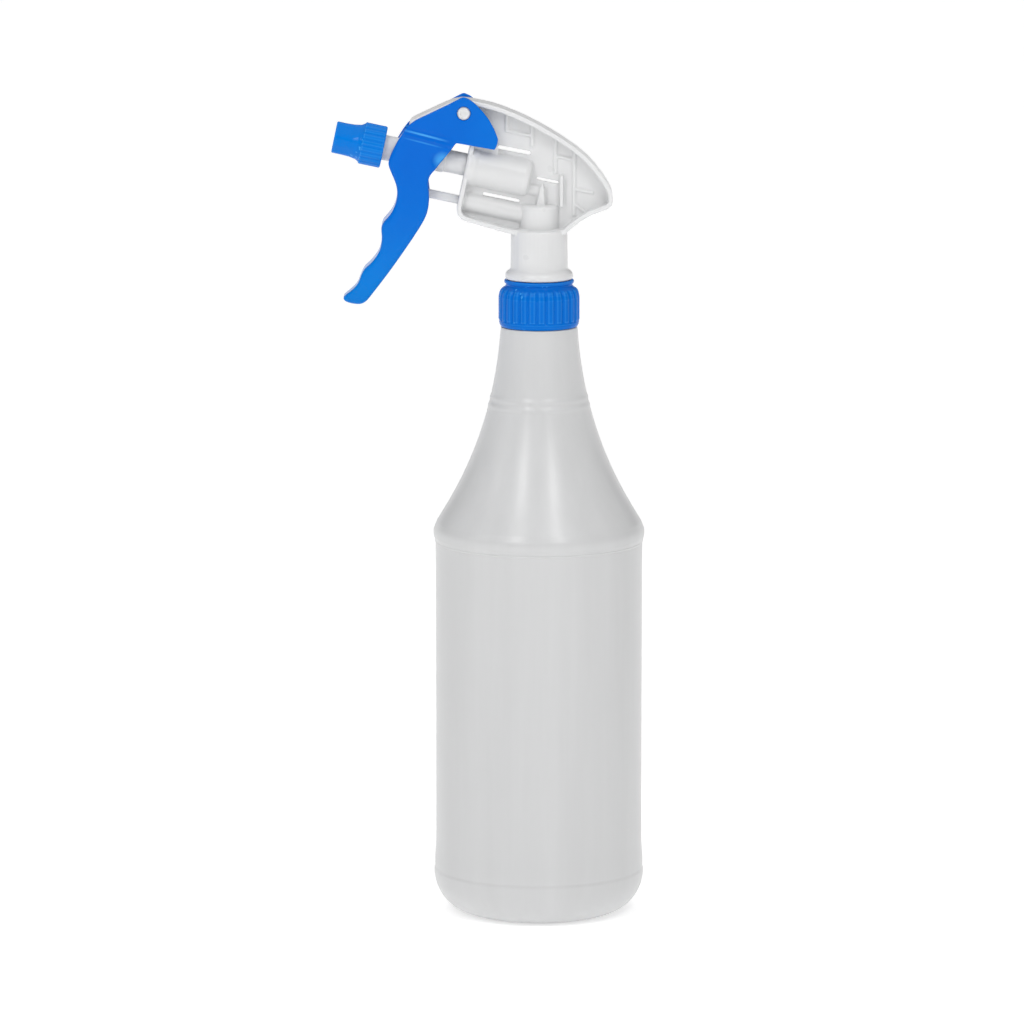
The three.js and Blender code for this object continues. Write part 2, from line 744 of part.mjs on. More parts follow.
function trigger() {
  const { gripHalf } = TRIGGER;
  const points = triggerOutline().getPoints(3).slice(0, -1);
  const shell = cut(triggerOutside(points), ...triggerInside(points));
  return cut(
    shell.add(join(ventLug(3.2, 4.8), ventLug(-4.8, -3.2))),
    rodAlongY(PIN_RADIUS + 0.15, 0, 0, -12, 12),
    creepSlot(BARREL_DROP, 1.8, 5, 8.45),
    creepSlot(BARREL_DROP, 1.8, -8.45, -5),
    creepSlot(VENT_DROP, 1.45, -6, 6),
    rodAlongY(3.6, -9.7, -19.3, gripHalf - 0.45, gripHalf + 2),
    rodAlongY(3.6, -9.7, -19.3, -gripHalf - 2, 0.45 - gripHalf),
  );
}

// ---------------------------------------------------------------- pieces on the barrel's axis

function barrelBush() {
  return turned([
    [5.0, -8.4],
    [5.95, -8.4],
    [5.95, -5.6],
    [5.4, -5.4],
    [5.0, -5.7],
    [5.0, -8.4],
  ], SMALL_ROUND);
}

function plungerBody() {
  const lugStation = BARREL_DROP * LEVER_LEAD;
  const stem = turned([
    [0, -13.2],
    [5.9, -13.2],
    [5.9, -12.0],
    [4.5, -11.9],
    [4.5, -10.1],
    [5.9, -10.0],
    [5.9, -8.8],
    [4.7, -8.7],
    [4.7, 3.0],
    [5.2, 3.6],
    [5.2, 38.6],
    [3.85, 39.2],
    [3.85, 44.0],
    [0, 44.0],
  ], 32);
  const passage = turned([
    [0, -14],
    [1.35, -14],
    [1.35, -7.7],
    [2.6, -7.3],
    [2.6, 45],
    [0, 45],
  ], 16);
  const lugReach = 8.2;
  const lugs = [1, -1].map((side) => {
    return rodAlongY(1.5, 0, lugStation, 4.2 * side, lugReach * side, 16);
  });
  return cut(join(stem, ...lugs), passage);
}

function pistonSeal() {
  return turned([
    [4.65, -11.6],
    [5.7, -11.6],
    [6.1, -11.75],
    [6.15, -10.8],
    [5.8, -10.35],
    [4.65, -10.35],
    [4.65, -11.6],
  ], 32);
}

function spinner() {
  const post = turned([
    [0, 9.6],
    [1.6, 9.6],
    [1.9, 10.2],
    [1.9, 44.3],
    [3.55, 44.3],
    [3.55, 46.0],
    [3.1, 46.4],
    [0, 46.4],
  ], 16);
  const flutes = [0, 1, 2].map((i) => {
    return block(1.2, 4.2, -0.45, 0.45, 9, 47).rotateZ(2 * Math.PI / 3 * i);
  });
  return cut(solidOf(post), ...flutes);
}

// A square with rounded corners, standing on a corner.
function roundedDiamond(half, corner) {
  const shape = new THREE.Shape();
  const reach = (half - corner) * Math.SQRT2;
  [[reach, 0], [0, reach], [-reach, 0], [0, -reach]].forEach(([x, y], i) => {
    const start = Math.PI / 2 * i - Math.PI / 4;
    shape.absarc(x, y, corner, start, start + Math.PI / 2);
  });
  return shape;
}

function nozzle() {
  const { rear, step, front, skirtRadius, headHalf, headCorner } = NOZZLE;
  const skirt = new THREE.ExtrudeGeometry(lobedOutline(skirtRadius - 0.3, skirtRadius, 20), {
    depth: step - rear,
    bevelEnabled: false,
  });
  skirt.translate(0, 0, rear);
  const head = new THREE.ExtrudeGeometry(roundedDiamond(headHalf, headCorner), {
    depth: front - step + 2,
    bevelEnabled: false,
    curveSegments: 6,
  });
  head.translate(0, 0, step - 2);
  const flare = turned([
    [0, step - 2],
    [8.3, step - 1],
    [8.3, step],
    [7.3, step + 1.4],
    [6.6, step + 3.8],
    [5.8, step + 5.6],
    [0, step + 5.6],
  ], 32);
  const bore = turned([
    [0, rear - 1],
    [5.5, rear - 1],
    [5.5, 39.8],
    [4.85, 40.3],
    [4.85, 44.4],
    [4.1, 44.4],
    [4.1, 47.2],
    [0.5, 47.6],
    [0.5, 49.2],
    [3.4, 49.3],
    [3.4, 51],
    [0, 51],
  ], SMALL_ROUND);
  return cut(join(skirt, head, flare), bore);
}

function nozzleSeal() {
  return new THREE.TorusGeometry(4.35, 0.42, 8, SMALL_ROUND).translate(0, 0, 42.2);
}

function ventRod() {
  const station = VENT_DROP * LEVER_LEAD;
  const rod = turned([
    [0, -14],
    [1.6, -14],
    [1.85, -13.6],
    [1.85, -12.9],
    [1.2, -12.8],
    [1.2, -11.2],
    [1.85, -11.1],
    [1.85, station + 1.2],
    [0, station + 1.2],
  ], 16);
  const crossPin = rodAlongY(1.15, 0, station, -5.4, 5.4, 12);
  return join(rod, crossPin);
}

function ventSeal() {
  return turned([
    [1.35, -12.5],
    [1.9, -12.5],
    [2.1, -12.0],
    [1.9, -11.5],
    [1.35, -11.5],
    [1.35, -12.5],
  ], 16);
}

// ---------------------------------------------------------------- the assembly

const finishes = {
  bottle: { color: COLOURS.bottle, roughness: 0.5, metalness: 0 },
  white: { color: COLOURS.white, roughness: 0.4, metalness: 0 },
  blue: { color: COLOURS.blue, roughness: 0.25, metalness: 0 },
  rubber: { color: COLOURS.rubber, roughness: 0.8, metalness: 0 },
  steel: { color: COLOURS.steel, roughness: 0.3, metalness: 1 },
  natural: { color: COLOURS.natural, roughness: 0.45, metalness: 0 },
};

function piece(name, finish, shape) {
  const geometry = shape.isBufferGeometry ? geometryOf(solidOf(shape)) : geometryOf(shape);
  const mesh = new THREE.Mesh(geometry, new THREE.MeshStandardMaterial(finishes[finish]));
  mesh.name = name;
  return mesh;
}

const sprayBottle = new THREE.Group();

sprayBottle.add(
  piece('bottle', 'bottle', bottle()),
  piece('collar', 'blue', collar()),
  piece('neck_gasket', 'natural', neckGasket()),
  piece('tube_retainer', 'natural', tubeRetainer()),
  piece('inlet_ball', 'steel', inletBall()),
  piece('dip_tube', 'natural', dipTube()),
  piece('strainer', 'natural', strainer()),
  piece('spray_frame', 'white', sprayFrame()),
  piece('pivot_pin', 'white', pivotPin()),
);

const lever = piece('trigger', 'blue', trigger());
lever.position.copy(PIVOT);
sprayBottle.add(lever);

const onBarrel = new THREE.Group();
onBarrel.position.set(-BARREL_DROP, 0, 0);
onBarrel.add(
  piece('barrel_bush', 'white', barrelBush()),
  piece('plunger', 'white', plungerBody()),
  piece('piston_seal', 'rubber', pistonSeal()),
  piece('return_spring', 'steel', coilSpring(4.9, 0.9, -30.1, -13.6, 6)),
  piece('outlet_ball', 'steel', new THREE.SphereGeometry(2.1, 12, 8).translate(0, 0, -5.6)),
  piece('outlet_spring', 'steel', coilSpring(1.95, 0.45, -3.2, 9.3, 6)),
  piece('spinner', 'natural', spinner()),
  piece('nozzle_seal', 'rubber', nozzleSeal()),
  piece('nozzle', 'blue', nozzle()),
);

const onVent = new THREE.Group();
onVent.position.set(-VENT_DROP, 0, 0);
onVent.add(
  piece('vent_rod', 'white', ventRod()),
  piece('vent_seal', 'rubber', ventSeal()),
);

barrelFrame.add(onBarrel, onVent);
sprayBottle.add(barrelFrame);

export default sprayBottle;
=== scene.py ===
"""Looks of the trigger spray bottle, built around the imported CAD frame.

Metres, +Z up, origin on the bottle's axis where it stands. Profiles are written in millimetres.
The outer pieces and the springs are fine meshes made here, by formula or from their CAD node, and
ride on that node's body. The other pieces are the CAD nodes themselves, with their materials.
"""

import math

import bmesh
import bpy
import numpy as np
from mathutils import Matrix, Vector


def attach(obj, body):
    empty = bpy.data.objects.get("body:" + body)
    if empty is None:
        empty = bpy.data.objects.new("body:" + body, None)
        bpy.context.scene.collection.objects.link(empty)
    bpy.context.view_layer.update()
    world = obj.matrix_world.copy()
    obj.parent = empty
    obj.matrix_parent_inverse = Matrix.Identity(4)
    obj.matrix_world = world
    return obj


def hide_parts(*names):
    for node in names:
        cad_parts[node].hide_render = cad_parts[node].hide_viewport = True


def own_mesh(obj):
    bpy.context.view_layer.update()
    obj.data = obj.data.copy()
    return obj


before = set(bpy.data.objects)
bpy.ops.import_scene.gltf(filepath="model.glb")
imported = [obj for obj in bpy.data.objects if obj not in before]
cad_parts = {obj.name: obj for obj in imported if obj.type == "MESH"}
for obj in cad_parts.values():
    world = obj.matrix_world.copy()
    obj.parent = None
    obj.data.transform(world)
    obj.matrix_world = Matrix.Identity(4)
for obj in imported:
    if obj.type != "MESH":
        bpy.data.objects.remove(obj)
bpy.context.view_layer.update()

MM = 0.001
FULL_TURN = 2 * math.pi

# ---------------------------------------------------------------- dimensions shared with the CAD

TILT = math.radians(12)
PIVOT = np.array([-31.0, 0.0, 335.1])
FORWARD = np.array([-math.cos(TILT), 0.0, math.sin(TILT)])
UPWARD = np.array([math.sin(TILT), 0.0, math.cos(TILT)])
SIDEWAYS = np.array([0.0, 1.0, 0.0])
BARREL_DROP = 21.4

THREAD_LEAD = 4.233
THREAD_START = 251.2
THREAD_TURNS = 1.25
COLLAR_RIBS = 27
SHOULDER_CURVE = ((43.2, 163.2), (39.9, 169.9), (19.0, 196.9), (15.87, 245.6))
NOZZLE_RIBS = 20

# The crease across the trigger's sides, as seen from the pivot: z = CREASE_Z - CREASE_SLOPE x.
CREASE_Z = -13.4
CREASE_SLOPE = 0.26
UPPER_LINE = -0.3                 # the two raised lines, by their depth below the crease
LOWER_LINE = 2.7

# ---------------------------------------------------------------- strength of the light

SKY_GLOW = 1.16                   # straight overhead
SKY_START = 0.22                  # direction's Z from which the sky grows brighter
BACKDROP_TOP = 0.1                # direction's Z up to which the backdrop is white
LEFT_POWER = 3.05
RIGHT_POWER = 2.95
SPARK_POWER = 0.35
FLOOR_GLOW = 0.41

# ---------------------------------------------------------------- outlines


def rounded(corners, closed=False, arc_step=12):
    """A smooth polyline from corners (x, y, radius): each corner becomes an arc of its radius."""
    places = [np.array(c[:2], float) for c in corners]
    radii = [c[2] if len(c) > 2 else 0.0 for c in corners]
    count = len(corners)
    out = []
    for i in range(count):
        here = places[i]
        inner = closed or 0 < i < count - 1
        if not inner or radii[i] <= 0:
            out.append(here)
            continue
        back = places[i - 1] - here
        ahead = places[(i + 1) % count] - here
        back_length, ahead_length = np.linalg.norm(back), np.linalg.norm(ahead)
        back, ahead = back / back_length, ahead / ahead_length
        turn = math.pi - math.acos(float(np.clip(back @ ahead, -1, 1)))
        if turn < 0.02:
            out.append(here)
            continue
        reach = min(radii[i] * math.tan(turn / 2), 0.49 * back_length, 0.49 * ahead_length)
        radius = reach / math.tan(turn / 2)
        middle = here + (back + ahead) / np.linalg.norm(back + ahead) * radius / math.cos(turn / 2)
        first, last = here + back * reach, here + ahead * reach
        steps = max(3, int(math.degrees(turn) / arc_step) + 1)
        out.append(first + back * min(0.3 * reach, 0.25 * (back_length - reach)))
        for k in range(steps + 1):
            share = k / steps
            weight_first = math.sin((1 - share) * turn) / math.sin(turn)
            weight_last = math.sin(share * turn) / math.sin(turn)
            out.append(middle + (first - middle) * weight_first + (last - middle) * weight_last)
        out.append(last + ahead * min(0.3 * reach, 0.25 * (ahead_length - reach)))
    return np.array(out)


def refined(line, longest):
    """The same polyline with no stretch longer than that."""
    out = [line[0]]
    for a, b in zip(line[:-1], line[1:]):
        pieces = max(1, math.ceil(np.linalg.norm(b - a) / longest))
        out.extend(a + (b - a) * k / pieces for k in range(1, pieces + 1))
    return np.array(out)


def bezier(p0, p1, p2, p3, steps):
    t = np.linspace(0, 1, steps + 1)[:, None]
    p0, p1, p2, p3 = (np.array(p, float) for p in (p0, p1, p2, p3))
    return (1 - t) ** 3 * p0 + 3 * (1 - t) ** 2 * t * p1 + 3 * (1 - t) * t * t * p2 + t**3 * p3


def smoothstep(x, low, high):
    t = np.clip((x - low) / (high - low), 0, 1)
    return t * t * (3 - 2 * t)


# ---------------------------------------------------------------- meshes


def link(name, mesh):
    piece = bpy.data.objects.new(name, mesh)
    bpy.context.scene.collection.objects.link(piece)
    return piece


def grid_faces(rows, columns, closed):
    """Quads between rows of points that run round in columns. closed joins the last row to the first."""
    row = np.arange(rows if closed else rows - 1)[:, None]
    column = np.arange(columns)[None, :]
    after, aside = (row + 1) % rows, (column + 1) % columns
    this_row, next_row = row * columns, after * columns
    corners = [this_row + column, this_row + aside, next_row + aside, next_row + column]
    return np.stack(corners, -1).reshape(-1, 4).tolist()


def smooth_piece(name, points, faces):
    """A smooth shaded piece from points in millimetres, with its faces turned outwards."""
    mesh = bpy.data.meshes.new(name)
    mesh.from_pydata((points * MM).tolist(), [], faces)
    work = bmesh.new()
    work.from_mesh(mesh)
    bmesh.ops.remove_doubles(work, verts=work.verts, dist=1e-7)
    bmesh.ops.recalc_face_normals(work, faces=work.faces)
    work.to_mesh(mesh)
    work.free()
    mesh.shade_smooth()
    return link(name, mesh)


def polar_piece(name, line, columns, radius=None, closed=True, place=None):
    """A mesh turned about Z from a profile line of (radius, height), in millimetres.

    radius(r, z, angle) may bend it into ribs, threads or a square.
    closed joins the last row to the first. place maps local points to the row frame.
    """
    angle = np.linspace(0, FULL_TURN, columns, endpoint=False)[None, :]
    r = np.repeat(line[:, :1], columns, 1)
    z = np.repeat(line[:, 1:2], columns, 1)
    bent = r if radius is None else radius(r, z, angle)
    points = np.stack([bent * np.cos(angle), bent * np.sin(angle), z], -1).reshape(-1, 3)
    points = points if place is None else place(points)
    return smooth_piece(name, points, grid_faces(len(line), columns, closed))


def coil_piece(name, radius, wire, low, high, turns, place):
    """A spring wound about Z, in millimetres, with its end coils closed up."""
    steps = turns * 40
    around = 12
    t = np.linspace(0, 1, steps + 1)
    lead = smoothstep(t, 0.5 / turns, 1.5 / turns) + smoothstep(t, 1 - 1.5 / turns, 1 - 0.5 / turns)
    climb = np.cumsum(0.15 + lead * (2 - lead))
    height = low + wire / 2 + (high - low - wire) * climb / climb[-1]
    turned = FULL_TURN * turns * t
    section = np.linspace(0, FULL_TURN, around, endpoint=False)[None, :]
    r = radius + 0.5 * wire * np.cos(section)
    z = height[:, None] + 0.5 * wire * np.sin(section)
    points = np.stack([r * np.cos(turned)[:, None], r * np.sin(turned)[:, None], z], -1).reshape(-1, 3)
    caps = [list(range(around)), [steps * around + k for k in range(around)]]
    return smooth_piece(name, place(points), grid_faces(steps + 1, around, False) + caps)


def on_barrel(points):
    """Maps local points, Z along the barrel's axis and X up, to the row frame."""
    origin = PIVOT - BARREL_DROP * UPWARD
    return origin + points[:, :1] * UPWARD + points[:, 1:2] * SIDEWAYS + points[:, 2:3] * FORWARD


def edge_arrays(mesh):
    edges = np.zeros(len(mesh.edges) * 2, np.int64)
    mesh.edges.foreach_get("vertices", edges)
    edges = edges.reshape(-1, 2)
    degree = np.bincount(edges.ravel(), minlength=len(mesh.vertices)).astype(float)
    return edges, degree


def relax(mesh, passes, weight=None):
    """Rounds edges off: each point moves halfway to its neighbours' mean, passes times, by weight."""
    count = len(mesh.vertices)
    points = np.zeros(count * 3)
    mesh.vertices.foreach_get("co", points)
    points = points.reshape(-1, 3)
    edges, degree = edge_arrays(mesh)
    share = 0.5 if weight is None else 0.5 * weight(points)[:, None]
    for _ in range(passes):
        total = np.zeros_like(points)
        for axis in range(3):
            total[:, axis] = np.bincount(edges[:, 0], points[edges[:, 1], axis], count)
            total[:, axis] += np.bincount(edges[:, 1], points[edges[:, 0], axis], count)
        points += share * (total / degree[:, None] - points)
    mesh.vertices.foreach_set("co", points.ravel())
    mesh.update()


def moulded(name, node, voxel, passes, weight=None, keep_faces=190_000):
    """A moulded copy of a CAD node: fine even mesh, edges rounded as a mould leaves them."""
    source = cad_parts[node]
    piece = link(name, source.data.copy())
    piece.data.materials.clear()
    remesh = piece.modifiers.new("even", "REMESH")
    remesh.mode = "VOXEL"
    remesh.voxel_size = voxel * MM
    apply_modifiers(piece)
    relax(piece.data, passes, weight)
    faces = 2 * len(piece.data.polygons)
    if faces > keep_faces:
        thin = piece.modifiers.new("thin", "DECIMATE")
        thin.ratio = keep_faces / faces
        apply_modifiers(piece)
    piece.data.shade_smooth()
    return piece


def apply_modifiers(piece):
    shown = bpy.context.evaluated_depsgraph_get()
    shown.update()
    mesh = bpy.data.meshes.new_from_object(piece.evaluated_get(shown))
    old = piece.data
    piece.modifiers.clear()
    piece.data = mesh
    bpy.data.meshes.remove(old)


def stand_for(piece, node, body, material):
    """piece replaces that CAD node: same body, same material slot."""
    piece.data.materials.clear()
    piece.data.materials.append(material)
    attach(piece, body)
    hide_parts(node)
    return piece


# ---------------------------------------------------------------- materials


def new_material(name):
    material = bpy.data.materials.new(name)
    material.use_nodes = True
    nodes = material.node_tree.nodes
    nodes.clear()
    shader = nodes.new("ShaderNodeBsdfPrincipled")
    output = nodes.new("ShaderNodeOutputMaterial")
    material.node_tree.links.new(shader.outputs[0], output.inputs[0])
    return material, shader


class Wiring:
    """Small helper that adds nodes to one material and joins them."""

    def __init__(self, material):
        self.tree = material.node_tree

    def join(self, source, target):
        self.tree.links.new(source, target)

    def add(self, kind, **settings):
        node = self.tree.nodes.new(kind)
        for key, value in settings.items():
            setattr(node, key, value)
        return node

    def place(self, scale=(1, 1, 1)):
        """Object coordinates, stretched by scale."""
        coordinates = self.add("ShaderNodeTexCoord")
        mapping = self.add("ShaderNodeMapping")
        mapping.inputs["Scale"].default_value = scale
        self.join(coordinates.outputs["Object"], mapping.inputs["Vector"])
        return mapping.outputs[0]

    def noise(self, vector, scale, detail=3.0, roughness=0.5):
        node = self.add("ShaderNodeTexNoise")
        node.inputs["Scale"].default_value = scale
        node.inputs["Detail"].default_value = detail
        node.inputs["Roughness"].default_value = roughness
        self.join(vector, node.inputs["Vector"])
        return node.outputs["Fac"]

    def ramp(self, value, low, high, out_low, out_high):
        """value from low..high becomes out_low..out_high."""
        node = self.add("ShaderNodeMapRange")
        for socket, number in zip(node.inputs[1:5], (low, high, out_low, out_high)):
            socket.default_value = number
        self.join(value, node.inputs[0])
        return node.outputs[0]

    def maths(self, operation, *values):
        """One step of arithmetic on sockets or numbers."""
        node = self.add("ShaderNodeMath", operation=operation)
        for socket, value in zip(node.inputs, values):
            if isinstance(value, bpy.types.NodeSocket):
                self.join(value, socket)
            else:
                socket.default_value = value
        return node.outputs[0]

    def colour(self, value, dark, light):
        node = self.add("ShaderNodeMix", data_type="RGBA")
        node.inputs[6].default_value = (*dark, 1)
        node.inputs[7].default_value = (*light, 1)
        self.join(value, node.inputs[0])
        return node.outputs[2]

    def bump(self, height, strength, distance, below=None):
        node = self.add("ShaderNodeBump")
        node.inputs["Strength"].default_value = strength
        node.inputs["Distance"].default_value = distance
        self.join(height, node.inputs["Height"])
        if below is not None:
            self.join(below, node.inputs["Normal"])
        return node.outputs[0]


def plastic(name, dark, light, rough, flow=(40, 40, 40), grain=900.0, wave=60.0, scatter=0.0,
            specular=0.5, depth=0.00001):
    """Moulded plastic: cloudy colour, patchy gloss, fine grain and a slow waviness of the surface."""
    material, shader = new_material(name)
    wiring = Wiring(material)
    cloud = wiring.noise(wiring.place(flow), 1.0, 4.0, 0.6)
    wiring.join(wiring.colour(wiring.ramp(cloud, 0.1, 0.9, 0, 1), dark, light), shader.inputs["Base Color"])
    patches = wiring.noise(wiring.place(), 90.0, 2.0)
    wiring.join(wiring.ramp(patches, 0.0, 1.0, rough[0], rough[1]), shader.inputs["Roughness"])
    slow = wiring.bump(wiring.noise(wiring.place(), wave, 2.0), 0.25, 0.00012)
    fine = wiring.bump(wiring.noise(wiring.place(), grain, 2.0), 0.2, depth, slow)
    wiring.join(fine, shader.inputs["Normal"])
    shader.inputs["IOR"].default_value = 1.5
    shader.inputs["Specular IOR Level"].default_value = specular
    if scatter:
        shader.inputs["Subsurface Weight"].default_value = scatter
        shader.inputs["Subsurface Radius"].default_value = (1.0, 1.0, 1.0)
        shader.inputs["Subsurface Scale"].default_value = 0.004
    return material


def tinted(material, share, tint, blend="MIX"):
    """Lays a tint over the plastic's colour, as strongly as share says."""
    wiring = Wiring(material)
    shader = next(n for n in wiring.tree.nodes if n.type == "BSDF_PRINCIPLED")
    plain = shader.inputs["Base Color"].links[0].from_socket
    mixed = wiring.add("ShaderNodeMix", data_type="RGBA", blend_type=blend)
    wiring.join(share, mixed.inputs[0])
    wiring.join(plain, mixed.inputs[6])
    mixed.inputs[7].default_value = (*tint, 1)
    wiring.join(mixed.outputs[2], shader.inputs["Base Color"])


def distance_share(wiring, centre, near, far, at_near, at_far):
    """A share that goes from at_near to at_far with the distance from a point, all in millimetres."""
    reach = wiring.add("ShaderNodeVectorMath", operation="DISTANCE")
    wiring.join(wiring.place(), reach.inputs[0])
    reach.inputs[1].default_value = tuple(centre * MM)
    return wiring.ramp(reach.outputs["Value"], near * MM, far * MM, at_near, at_far)


def crease_highlight_share(wiring, depth, half_width, share):
    """A share for the painted highlight along one line beside the trigger's crease, that far below it."""
    normal = np.array([-CREASE_SLOPE, 0, -1]) / math.hypot(1, CREASE_SLOPE)
    level = float(normal @ PIVOT) - CREASE_Z / math.hypot(1, CREASE_SLOPE) + depth
    across = wiring.add("ShaderNodeVectorMath", operation="DOT_PRODUCT")
    wiring.join(wiring.place(), across.inputs[0])
    across.inputs[1].default_value = tuple(normal)
    off = wiring.maths("ABSOLUTE", wiring.maths("SUBTRACT", across.outputs["Value"], level * MM))
    line = wiring.ramp(off, 0.3 * half_width * MM, half_width * MM, share, 0)
    ends = distance_share(wiring, PIVOT + [-16, 0, -9], 9, 14, 1, 0)
    return wiring.maths("MULTIPLY", line, ends)


def paint_edge_highlights(material):
    """Painted highlights: sharp outer edges and rib tops get a paler tint, by the mesh's pointiness."""
    wiring = Wiring(material)
    edge = wiring.add("ShaderNodeNewGeometry").outputs["Pointiness"]
    # painted highlight on the sharpest edges
    tinted(material, wiring.ramp(edge, 0.505, 0.545, 0, 0.6), PAINTED_LIGHT_BLUE)


def steel(name):
    """Drawn stainless wire and polished balls: fine lines along the work."""
    material, shader = new_material(name)
    wiring = Wiring(material)
    lines = wiring.noise(wiring.place((400, 400, 4000)), 1.0, 3.0)
    wiring.join(wiring.colour(lines, (0.42, 0.42, 0.43), (0.62, 0.62, 0.63)), shader.inputs["Base Color"])
    wiring.join(wiring.ramp(lines, 0.3, 0.7, 0.18, 0.34), shader.inputs["Roughness"])
    wiring.join(wiring.bump(lines, 0.15, 0.00001), shader.inputs["Normal"])
    shader.inputs["Metallic"].default_value = 1.0
    return material


MILKY = plastic("milky_bottle", (0.563, 0.566, 0.569), (0.62, 0.623, 0.626), (0.27, 0.33),
                flow=(90, 90, 6), grain=1400.0, wave=30.0, scatter=0.15)
WHITE = plastic("white_moulding", (0.655, 0.658, 0.661), (0.71, 0.713, 0.716), (0.25, 0.33),
                grain=1200.0, scatter=0.3)
CAP_BLUE = plastic("collar_blue", (0.0, 0.120, 0.530), (0.001, 0.158, 0.610), (0.18, 0.25),
                   flow=(35, 35, 25), grain=1100.0, specular=0.07)
NOZZLE_BLUE = plastic("nozzle_blue", (0.0, 0.153, 0.590), (0.001, 0.190, 0.670), (0.15, 0.21),
                      flow=(35, 35, 25), grain=1100.0, specular=0.1)
LEVER_BLUE = plastic("trigger_blue", (0.0, 0.128, 0.565), (0.001, 0.165, 0.650), (0.14, 0.20),
                     flow=(35, 35, 25), grain=1100.0, specular=0.1)
# colour of the painted highlights and of the painted light through thin walls on the blues
PAINTED_LIGHT_BLUE = (0.07, 0.40, 0.85)
NATURAL = plastic("natural_moulding", (0.60, 0.61, 0.58), (0.68, 0.69, 0.66), (0.35, 0.45))
TUBE = plastic("tube", (0.66, 0.68, 0.66), (0.74, 0.76, 0.74), (0.3, 0.4), flow=(200, 200, 8))
LINER = plastic("foam_liner", (0.62, 0.62, 0.59), (0.72, 0.72, 0.69), (0.7, 0.85), grain=2500.0)
RUBBER = plastic("seal_rubber", (0.02, 0.02, 0.021), (0.035, 0.035, 0.036), (0.55, 0.7))
STEEL = steel("spring_steel")


def paint_light_on_blues():
    """Painted light and shade on the blues. The trigger is painted darker round its upper end as painted
    shade and lighter towards its tip as painted light. Its raised lines carry painted highlights, and its
    dishes a paler tint that is painted light through the thin wall. The collar's and the nozzle's sharp
    edges get painted highlights.
    """
    wiring = Wiring(LEVER_BLUE)
    # painted shade: darker within 10 to 36 mm of this point, round the trigger's upper end; painted light:
    # lighter and greener from 36 to 66 mm, towards the tip
    upper = PIVOT + [-18, 0, -12]
    tinted(LEVER_BLUE, distance_share(wiring, upper, 10, 36, 1, 0), (0.9, 0.86, 0.97), "MULTIPLY")
    tinted(LEVER_BLUE, distance_share(wiring, upper, 36, 66, 0, 1), (0.9, 1.24, 1.02), "MULTIPLY")
    # painted highlights along the two raised lines at the crease
    tinted(LEVER_BLUE, crease_highlight_share(wiring, UPPER_LINE, 0.55, 0.95), PAINTED_LIGHT_BLUE)
    tinted(LEVER_BLUE, crease_highlight_share(wiring, LOWER_LINE, 0.45, 0.6), PAINTED_LIGHT_BLUE)
    # painted light: a paler tint round each side's dish, standing in for light through its thin wall
    for side in (-1, 1):
        dish = PIVOT + [-8.8, 9.5 * side, -19.3]
        tinted(LEVER_BLUE, distance_share(wiring, dish, 1.6, 4.2, 0.7, 0), PAINTED_LIGHT_BLUE)
    # painted highlights on the sharp edges and rib tops of the collar and the nozzle
    for blue in (CAP_BLUE, NOZZLE_BLUE):
        paint_edge_highlights(blue)


# ---------------------------------------------------------------- the bottle


def thread_swell(z, angle, start, turns, half_width):
    """From 0 to 1, where a thread winding up from start passes at that height and angle."""
    best = np.zeros_like(z + angle)
    for lap in range(math.ceil(turns)):
        turned = angle / FULL_TURN + lap
        middle = start + THREAD_LEAD * turned
        fade = smoothstep(turned, 0.0, 0.06) * (1 - smoothstep(turned, turns - 0.06, turns))
        swell = 1 - smoothstep(np.abs(z - middle), 0.45 * half_width, half_width)
        best = np.maximum(best, swell * fade)
    return best


def bottle_profile():
    """Outer skin from the base's centre up to the mouth, then the inner skin back down."""
    heel = [(27.5 + 16.1 * math.sin(t), 17 * (1 - math.cos(t))) for t in np.linspace(0.12, 1.5, 16)]
    low = rounded([(0.01, 1.2), (17.5, 1.2, 3), (24.6, 0.0, 1.5), (27.6, 0.0, 2.0), (29.6, 0.13, 0)])
    band = bezier((43.3, 19.2), (43.5, 23.0), (42.8, 26.5), (42.8, 32.0), 10)
    crease = [(43.58, 17.2), (43.6, 17.6), (43.45, 18.1), (43.32, 18.6)]
    body = [(42.8, z) for z in (45, 70, 95, 120, 145)]
    ring = rounded([(42.85, 152), (42.95, 155.9, 0.5), (43.25, 156.4, 0.25), (43.15, 156.9, 0.25),
                    (43.62, 158.4, 1.5), (43.88, 161.2, 9.0), (42.55, 164.3)])
    shoulder = bezier(*SHOULDER_CURVE, 200)[1:-1]
    shoulder = shoulder[shoulder[:, 1] > 164.6]
    beads = sum(np.exp(-((shoulder[:, 1] - z) / 0.85) ** 2) for z in (213.7, 216.9))
    shoulder = shoulder + 0.24 * beads[:, None] * [1, 0]
    neck = rounded([(15.86, 245.2), (15.8, 245.9, 0.35), (12.9, 245.95, 0.2), (12.6, 246.3, 0.2),
                    (12.6, 260.38, 0.35), (10.9, 260.38, 0.3), (10.9, 246.6)])
    neck = refined(neck, 0.3)
    inner = bezier((14.8, 244.8), (17.9, 196.9), (38.8, 169.9), (42.0, 162.6), 30)
    inner = np.vstack([[(12.5, 245.0)], inner, [(41.7, 160)], [(41.7, 26)]])
    inner_heel = [(26.5 + 15.2 * math.sin(t), 1.1 + 17 * (1 - math.cos(t)))
                  for t in np.linspace(1.5, 0.12, 12)]
    floor = [(18, 2.3), (0.01, 2.3)]
    outer = np.vstack([low, heel, crease, band, body, ring, shoulder])
    return refined(np.vstack([outer, neck, inner, inner_heel, floor]), 6.0)


